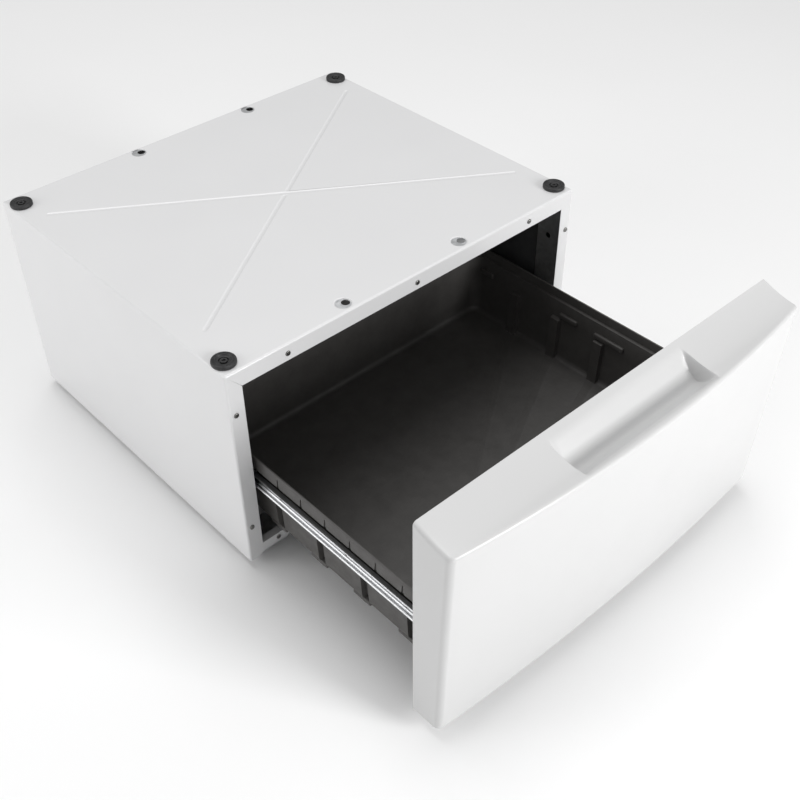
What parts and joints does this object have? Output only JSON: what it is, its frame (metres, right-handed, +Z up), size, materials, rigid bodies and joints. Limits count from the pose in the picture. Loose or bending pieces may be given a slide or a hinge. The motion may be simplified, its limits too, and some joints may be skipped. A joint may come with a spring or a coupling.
{
  "type": "laundry pedestal",
  "caption": "Low sheet-steel pedestal for a washer or dryer, with a pull-out storage drawer, bowed white front with a finger pocket, rubber deck pads and levelling feet.",
  "frame": {"origin": "on the floor, under the middle of the cabinet's front plane", "axes": "+Z up, -Y out of the front, the way the drawer opens, +X to the right hand of a person facing the front"},
  "size_m": [0.6858, 1.0416, 0.3833],
  "materials": {
    "white_enamel": "gloss appliance enamel",
    "white_plastic": "gloss moulded",
    "grey_enamel": "satin",
    "galvanised": "galvanised sheet",
    "bright_zinc": "bright zinc plated, rolled",
    "zinc": "zinc plated",
    "ball_steel": "polished",
    "charcoal_plastic": "fine moulded texture",
    "black_plastic": "satin",
    "black_rubber": "matte"
  },
  "bodies": {
    "cabinet": {"cabinet_wrap": "white_enamel", "back_panel": "galvanised", "front_rail": "white_enamel", "rear_rail": "galvanised", "deck_brace_front": "galvanised", "deck_brace_rear": "galvanised", "front_flange_screws": "zinc", "back_panel_screws": "zinc", "cabinet_rail_screws": "zinc", "foot_lock_nuts": "zinc", "foot_weld_nuts": "zinc", "rear_stops": "black_plastic", "left_corner_bracket_front": "galvanised", "left_corner_bracket_rear": "galvanised", "left_front_post": "galvanised", "left_rear_post": "galvanised", "left_cabinet_rail": "bright_zinc", "right_corner_bracket_front": "galvanised", "right_corner_bracket_rear": "galvanised", "right_front_post": "galvanised", "right_rear_post": "galvanised", "right_cabinet_rail": "bright_zinc", "deck_pad_front_left": "black_rubber", "deck_pad_front_right": "black_rubber", "deck_pad_rear_left": "black_rubber", "deck_pad_rear_right": "black_rubber"},
    "drawer": {"drawer_front_screws": "zinc", "drawer_rail_screws": "zinc", "drawer_bin": "charcoal_plastic", "drawer_front": "white_plastic", "drawer_inner_panel": "grey_enamel", "drawer_bumpers": "black_rubber", "left_drawer_rail": "bright_zinc", "right_drawer_rail": "bright_zinc", "left_lever_pin": "zinc", "right_lever_pin": "zinc"},
    "left_retainers": {"left_upper_retainer": "bright_zinc", "left_lower_retainer": "bright_zinc", "left_slide_balls": "ball_steel"},
    "right_retainers": {"right_upper_retainer": "bright_zinc", "right_lower_retainer": "bright_zinc", "right_slide_balls": "ball_steel"},
    "left_release": {"left_release_lever": "black_plastic"},
    "right_release": {"right_release_lever": "black_plastic"},
    "foot_front_left": {"foot_pad_front_left": "black_rubber"},
    "stem_front_left": {"foot_stem_front_left": "zinc"},
    "foot_front_right": {"foot_pad_front_right": "black_rubber"},
    "stem_front_right": {"foot_stem_front_right": "zinc"},
    "foot_rear_left": {"foot_pad_rear_left": "black_rubber"},
    "stem_rear_left": {"foot_stem_rear_left": "zinc"},
    "foot_rear_right": {"foot_pad_rear_right": "black_rubber"},
    "stem_rear_right": {"foot_stem_rear_right": "zinc"}
  },
  "joints": [
    {"name": "drawer_slide", "type": "slide", "parent": "cabinet", "child": "drawer", "axis": [0, -1, 0], "range_m": [-0.3519, 0.045]},
    {"name": "left_retainer_slide", "type": "slide", "parent": "cabinet", "child": "left_retainers", "axis": [0, -1, 0], "range_m": [-0.177, 0.0235]},
    {"name": "right_retainer_slide", "type": "slide", "parent": "cabinet", "child": "right_retainers", "axis": [0, -1, 0], "range_m": [-0.177, 0.0235]},
    {"name": "left_release_turn", "type": "hinge", "parent": "drawer", "child": "left_release", "pos_m": [-0.311, 0.04, 0.1657], "axis": [1, 0, 0], "range_deg": [0, 4], "stiffness_Nm_per_rad": 0.06},
    {"name": "right_release_turn", "type": "hinge", "parent": "drawer", "child": "right_release", "pos_m": [0.311, 0.04, 0.1657], "axis": [1, 0, 0], "range_deg": [-4, 0], "stiffness_Nm_per_rad": 0.06},
    {"name": "foot_travel_front_left", "type": "slide", "parent": "cabinet", "child": "foot_front_left", "axis": [0, 0, 1], "range_m": [-0.018, 0]},
    {"name": "stem_turn_front_left", "type": "hinge", "parent": "foot_front_left", "child": "stem_front_left", "pos_m": [-0.304, 0.038, 0.02], "axis": [0, 0, 1], "range_deg": [-4325, 5]},
    {"name": "foot_travel_front_right", "type": "slide", "parent": "cabinet", "child": "foot_front_right", "axis": [0, 0, 1], "range_m": [-0.018, 0]},
    {"name": "stem_turn_front_right", "type": "hinge", "parent": "foot_front_right", "child": "stem_front_right", "pos_m": [0.304, 0.038, 0.02], "axis": [0, 0, 1], "range_deg": [-4325, 5]},
    {"name": "foot_travel_rear_left", "type": "slide", "parent": "cabinet", "child": "foot_rear_left", "axis": [0, 0, 1], "range_m": [-0.018, 0]},
    {"name": "stem_turn_rear_left", "type": "hinge", "parent": "foot_rear_left", "child": "stem_rear_left", "pos_m": [-0.304, 0.56, 0.02], "axis": [0, 0, 1], "range_deg": [-4325, 5]},
    {"name": "foot_travel_rear_right", "type": "slide", "parent": "cabinet", "child": "foot_rear_right", "axis": [0, 0, 1], "range_m": [-0.018, 0]},
    {"name": "stem_turn_rear_right", "type": "hinge", "parent": "foot_rear_right", "child": "stem_rear_right", "pos_m": [0.304, 0.56, 0.02], "axis": [0, 0, 1], "range_deg": [-4325, 5]}
  ],
  "couplings": [
    {"joint": "left_retainer_slide", "follows": "drawer_slide", "ratio": 0.5},
    {"joint": "right_retainer_slide", "follows": "drawer_slide", "ratio": 0.5},
    {"joint": "stem_turn_front_left", "follows": "foot_travel_front_left", "rad_per_m": 4188.8},
    {"joint": "stem_turn_front_right", "follows": "foot_travel_front_right", "rad_per_m": 4188.8},
    {"joint": "stem_turn_rear_left", "follows": "foot_travel_rear_left", "rad_per_m": 4188.8},
    {"joint": "stem_turn_rear_right", "follows": "foot_travel_rear_right", "rad_per_m": 4188.8}
  ]
}
